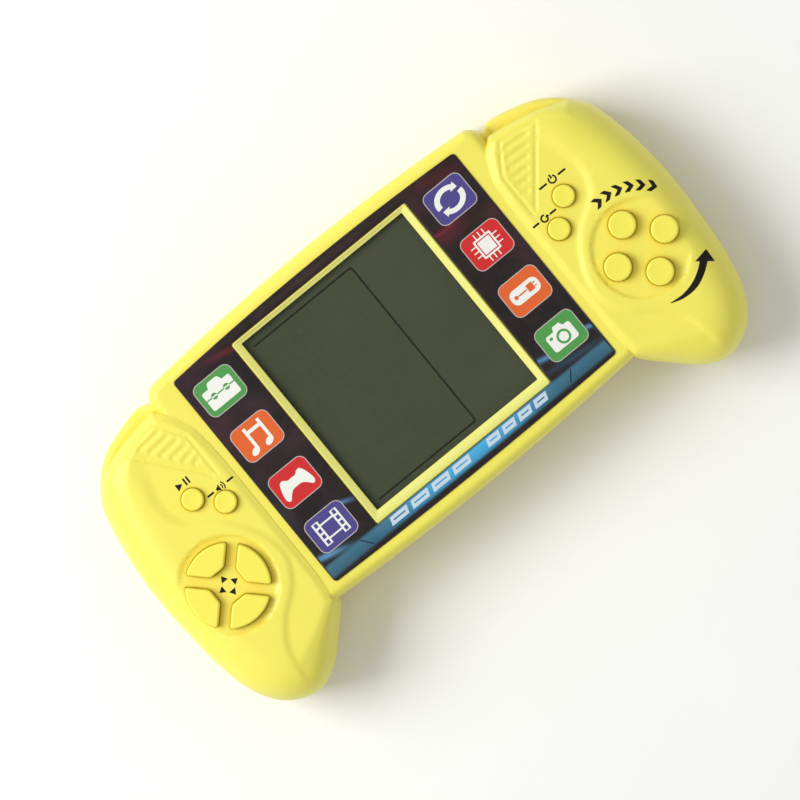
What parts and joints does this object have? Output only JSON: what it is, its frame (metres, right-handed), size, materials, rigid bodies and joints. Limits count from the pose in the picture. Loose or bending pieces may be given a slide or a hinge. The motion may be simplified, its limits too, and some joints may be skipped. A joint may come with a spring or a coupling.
{
  "type": "handheld lcd game",
  "caption": "Handheld LCD game with two grips, a framed square screen in a printed panel, round keys, a four-way key cluster and a battery door on its back.",
  "frame": {"origin": "middle of the bounding box on the flat back, on which it rests", "axes": "+X to the player's right along the width, +Y away from the player, +Z out of the screen"},
  "size_m": [0.165, 0.087, 0.0282],
  "materials": {
    "shell": "satin",
    "key": "satin",
    "label_print": "gloss",
    "window": "clear gloss",
    "lcd_glass": "gloss",
    "foam": "matte",
    "contact_rubber": "matte",
    "board_laminate": "satin",
    "chip_epoxy": "gloss",
    "capacitor_sleeve": "gloss",
    "resonator": "gloss",
    "keypad_silicone": "matte",
    "screw_steel": "satin",
    "cell_jacket": "gloss",
    "contact_metal": "bright plated",
    "buzzer_brass": "satin",
    "buzzer_piezo": "matte",
    "lead_red": "gloss",
    "lead_black": "gloss"
  },
  "bodies": {
    "case": {"front_shell": "shell", "rear_shell": "shell", "label_panel": "label_print", "screen_window": "window", "lcd_panel": "lcd_glass", "lcd_backing_pad": "foam", "zebra_strip_top": "contact_rubber", "zebra_strip_bottom": "contact_rubber", "main_board": "board_laminate", "chip_blob": "chip_epoxy", "power_capacitor": "capacitor_sleeve", "clock_resonator": "resonator", "keypad_left": "keypad_silicone", "keypad_right": "keypad_silicone", "contact_plate_negative": "contact_metal", "contact_plate_positive": "contact_metal", "contact_bridge": "contact_metal", "contact_spring_left": "contact_metal", "contact_spring_right": "contact_metal", "battery_cell_1": "cell_jacket", "battery_cell_2": "cell_jacket", "buzzer_plate": "buzzer_brass", "buzzer_ceramic": "buzzer_piezo", "battery_lead_red": "lead_red", "battery_lead_black": "lead_black", "buzzer_lead_red": "lead_red", "buzzer_lead_black": "lead_black", "case_screw_1": "screw_steel", "case_screw_2": "screw_steel", "case_screw_3": "screw_steel", "case_screw_4": "screw_steel", "case_screw_5": "screw_steel", "case_screw_6": "screw_steel", "board_screw_1": "screw_steel", "board_screw_2": "screw_steel", "board_screw_3": "screw_steel", "board_screw_4": "screw_steel"},
    "battery_door": {"battery_door": "shell"},
    "action_key_top": {"action_key_top": "key"},
    "action_key_right": {"action_key_right": "key"},
    "action_key_bottom": {"action_key_bottom": "key"},
    "action_key_left": {"action_key_left": "key"},
    "dpad_key_up": {"dpad_key_up": "key"},
    "dpad_key_right": {"dpad_key_right": "key"},
    "dpad_key_down": {"dpad_key_down": "key"},
    "dpad_key_left": {"dpad_key_left": "key"},
    "power_key": {"power_key": "key"},
    "reset_key": {"reset_key": "key"},
    "start_pause_key": {"start_pause_key": "key"},
    "sound_key": {"sound_key": "key"}
  },
  "joints": [
    {"name": "battery_door_hinge", "type": "hinge", "parent": "case", "child": "battery_door", "pos_m": [0, -0.01055, 0], "axis": [-1, 0, 0], "range_deg": [0, 75]},
    {"name": "action_key_top_press", "type": "slide", "parent": "case", "child": "action_key_top", "axis": [0, 0, -1], "range_m": [0, 0.0012], "stiffness_N_per_m": 600, "springref_m": -0.0003, "deforming": ["keypad_right"]},
    {"name": "action_key_right_press", "type": "slide", "parent": "case", "child": "action_key_right", "axis": [0, 0, -1], "range_m": [0, 0.0012], "stiffness_N_per_m": 600, "springref_m": -0.0003, "deforming": ["keypad_right"]},
    {"name": "action_key_bottom_press", "type": "slide", "parent": "case", "child": "action_key_bottom", "axis": [0, 0, -1], "range_m": [0, 0.0012], "stiffness_N_per_m": 600, "springref_m": -0.0003, "deforming": ["keypad_right"]},
    {"name": "action_key_left_press", "type": "slide", "parent": "case", "child": "action_key_left", "axis": [0, 0, -1], "range_m": [0, 0.0012], "stiffness_N_per_m": 600, "springref_m": -0.0003, "deforming": ["keypad_right"]},
    {"name": "dpad_key_up_press", "type": "slide", "parent": "case", "child": "dpad_key_up", "axis": [0, 0, -1], "range_m": [0, 0.0012], "stiffness_N_per_m": 600, "springref_m": -0.0003, "deforming": ["keypad_left"]},
    {"name": "dpad_key_right_press", "type": "slide", "parent": "case", "child": "dpad_key_right", "axis": [0, 0, -1], "range_m": [0, 0.0012], "stiffness_N_per_m": 600, "springref_m": -0.0003, "deforming": ["keypad_left"]},
    {"name": "dpad_key_down_press", "type": "slide", "parent": "case", "child": "dpad_key_down", "axis": [0, 0, -1], "range_m": [0, 0.0012], "stiffness_N_per_m": 600, "springref_m": -0.0003, "deforming": ["keypad_left"]},
    {"name": "dpad_key_left_press", "type": "slide", "parent": "case", "child": "dpad_key_left", "axis": [0, 0, -1], "range_m": [0, 0.0012], "stiffness_N_per_m": 600, "springref_m": -0.0003, "deforming": ["keypad_left"]},
    {"name": "power_key_press", "type": "slide", "parent": "case", "child": "power_key", "axis": [0, 0, -1], "range_m": [0, 0.0012], "stiffness_N_per_m": 600, "springref_m": -0.0003, "deforming": ["keypad_right"]},
    {"name": "reset_key_press", "type": "slide", "parent": "case", "child": "reset_key", "axis": [0, 0, -1], "range_m": [0, 0.0012], "stiffness_N_per_m": 600, "springref_m": -0.0003, "deforming": ["keypad_right"]},
    {"name": "start_pause_key_press", "type": "slide", "parent": "case", "child": "start_pause_key", "axis": [0, 0, -1], "range_m": [0, 0.0012], "stiffness_N_per_m": 600, "springref_m": -0.0003, "deforming": ["keypad_left"]},
    {"name": "sound_key_press", "type": "slide", "parent": "case", "child": "sound_key", "axis": [0, 0, -1], "range_m": [0, 0.0012], "stiffness_N_per_m": 600, "springref_m": -0.0003, "deforming": ["keypad_left"]}
  ]
}
